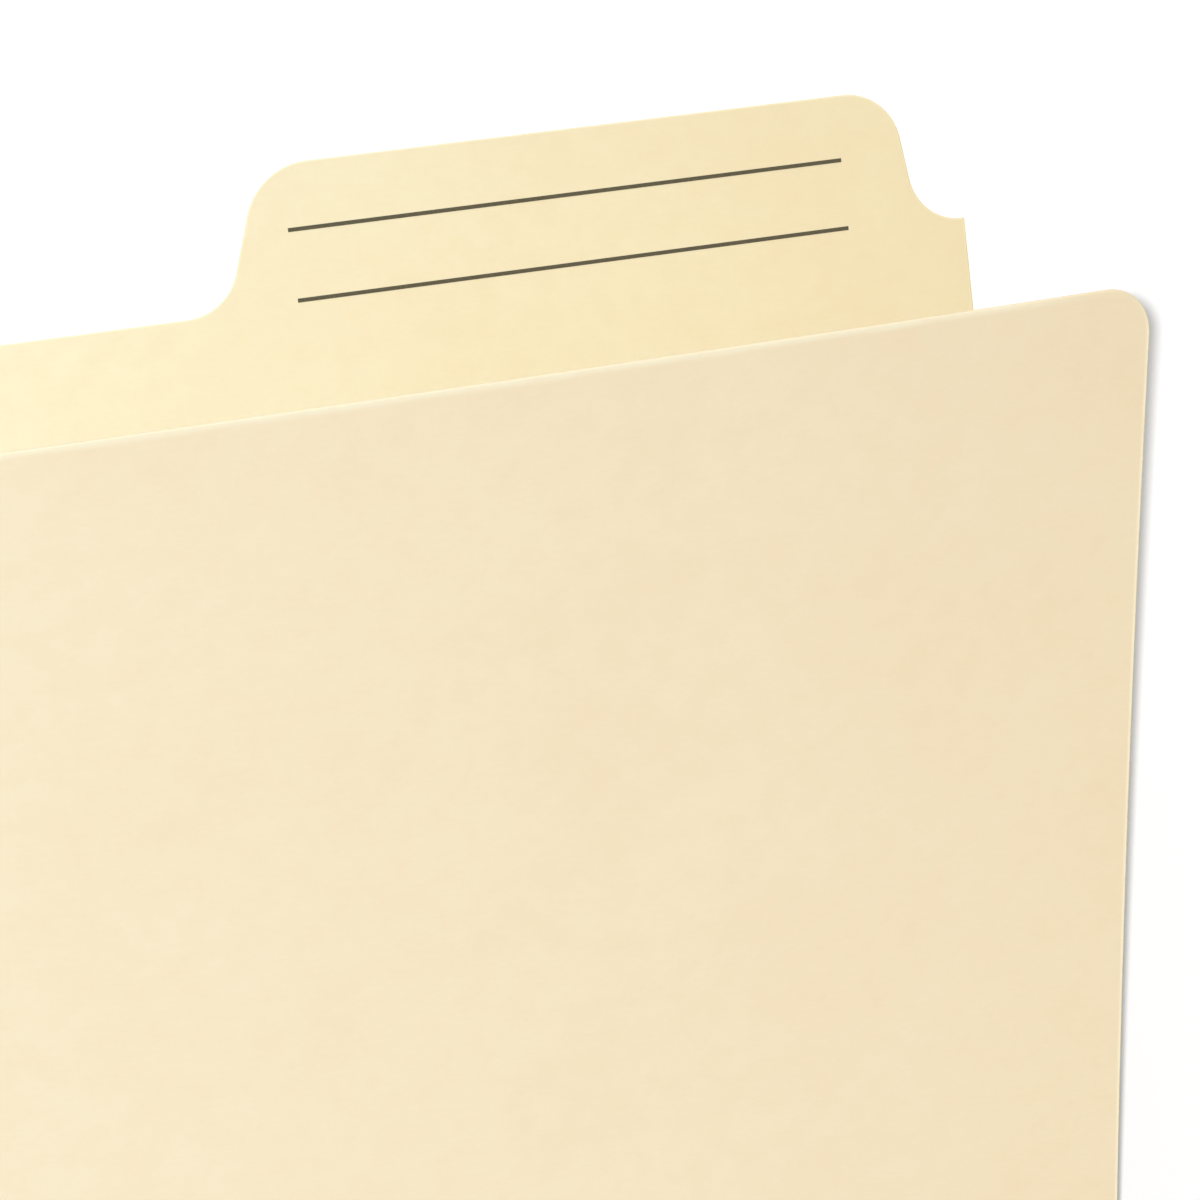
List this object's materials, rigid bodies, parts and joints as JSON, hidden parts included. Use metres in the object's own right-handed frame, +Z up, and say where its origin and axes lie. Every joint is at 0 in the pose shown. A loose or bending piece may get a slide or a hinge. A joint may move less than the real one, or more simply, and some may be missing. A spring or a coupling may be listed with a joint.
{
  "type": "file folder",
  "caption": "Manila file folder for letter-size paper: one scored sheet folded at the bottom, with a wide ruled tab at the top right, lying ajar.",
  "frame": {"origin": "on the surface that the folder lies on, under the middle of the whole folder as it lies ajar", "axes": "+X along the fold towards the tab's side, +Y from the fold towards the tab, +Z up, out of the back panel towards the front"},
  "size_m": [0.2984, 0.2476, 0.0762],
  "materials": {
    "manila_card": "matte uncoated manila card, pale yellowish cream, lighter at its cut edges",
    "rule_ink": "matte dark olive-grey printed ink"
  },
  "bodies": {
    "back": {"back_panel": "manila_card", "lower_rule": "rule_ink", "upper_rule": "rule_ink"},
    "fold_strip": {"fold_strip": "manila_card"},
    "middle_strip": {"middle_strip": "manila_card"},
    "outer_strip": {"outer_strip": "manila_card"},
    "front": {"front_flap": "manila_card"}
  },
  "joints": [
    {"name": "main_fold", "type": "hinge", "parent": "back", "child": "fold_strip", "pos_m": [0, -0.12387, 0.00051], "axis": [1, 0, 0], "range_deg": [-6, 120]},
    {"name": "first_score", "type": "hinge", "parent": "fold_strip", "child": "middle_strip", "pos_m": [0, -0.11774, 0.00222], "axis": [1, 0, 0], "range_deg": [-2.5, 14]},
    {"name": "second_score", "type": "hinge", "parent": "middle_strip", "child": "outer_strip", "pos_m": [0, -0.11154, 0.0036], "axis": [1, 0, 0], "range_deg": [-2.5, 14]},
    {"name": "third_score", "type": "hinge", "parent": "outer_strip", "child": "front", "pos_m": [0, -0.10535, 0.00498], "axis": [1, 0, 0], "range_deg": [-2.5, 14]}
  ]
}
